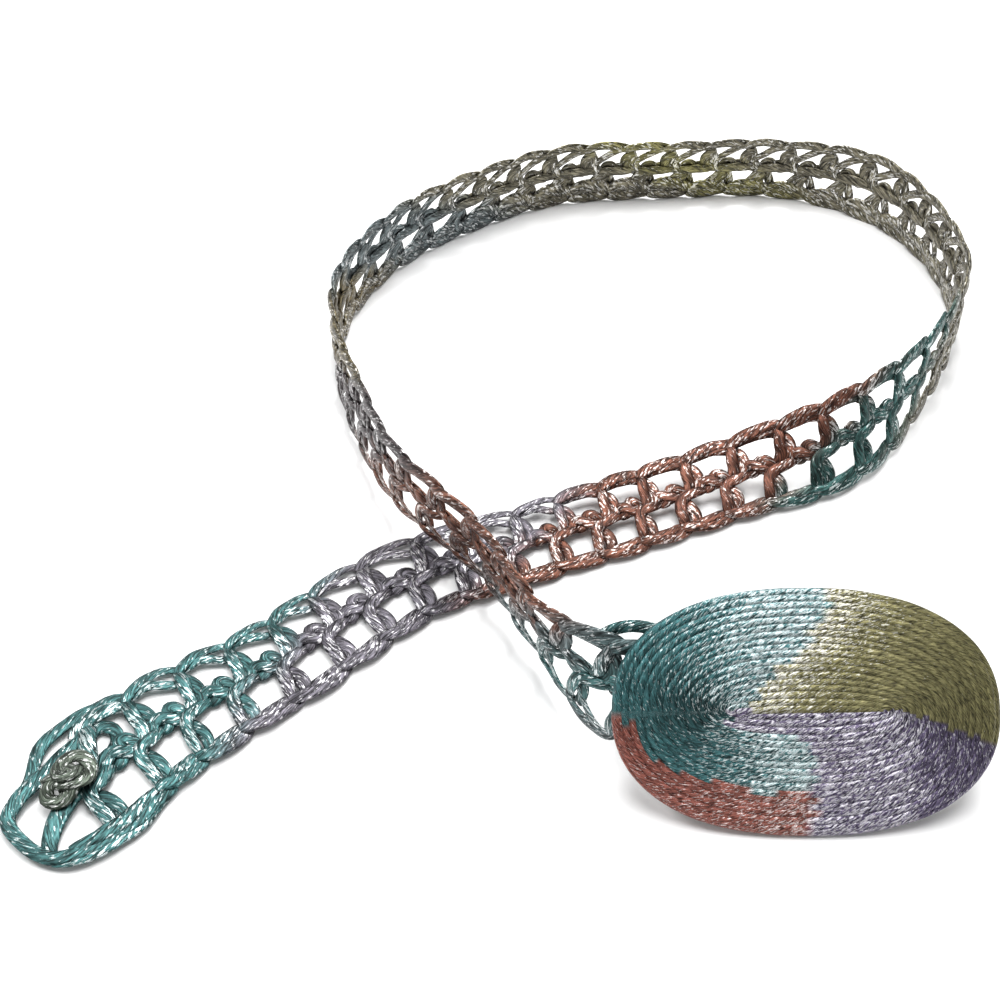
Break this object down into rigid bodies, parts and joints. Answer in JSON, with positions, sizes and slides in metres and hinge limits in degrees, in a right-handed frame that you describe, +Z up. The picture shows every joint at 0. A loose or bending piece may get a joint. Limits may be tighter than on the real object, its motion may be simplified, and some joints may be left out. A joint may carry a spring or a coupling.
{
  "type": "braided belt",
  "caption": "Open-work knotted ribbon belt, lying coiled once with its free tip crossed under, and an oval buckle of wound cord with a hidden hook",
  "frame": {"origin": "on the table, under the middle of the whole belt's box", "axes": "+Z up, the buckle and the free tip towards -Y, the loop towards +Y, the buckle towards +X"},
  "size_m": [0.2934, 0.3092, 0.0418],
  "materials": {
    "dyed_ribbon": "metallic ribbon, space-dyed from teal through lilac grey and copper to olive grey",
    "knot_ribbon": "metallic ribbon, olive grey",
    "wound_cord": "metallic cord in fields of teal, olive yellow, lilac and copper",
    "tie_ribbon": "metallic ribbon, teal",
    "hook_metal": "plain satin strip"
  },
  "bodies": {
    "root": {"braided_strap": "dyed_ribbon", "end_knot": "knot_ribbon", "wound_buckle": "wound_cord", "tie_cord": "tie_ribbon", "hook": "hook_metal"}
  },
  "joints": []
}
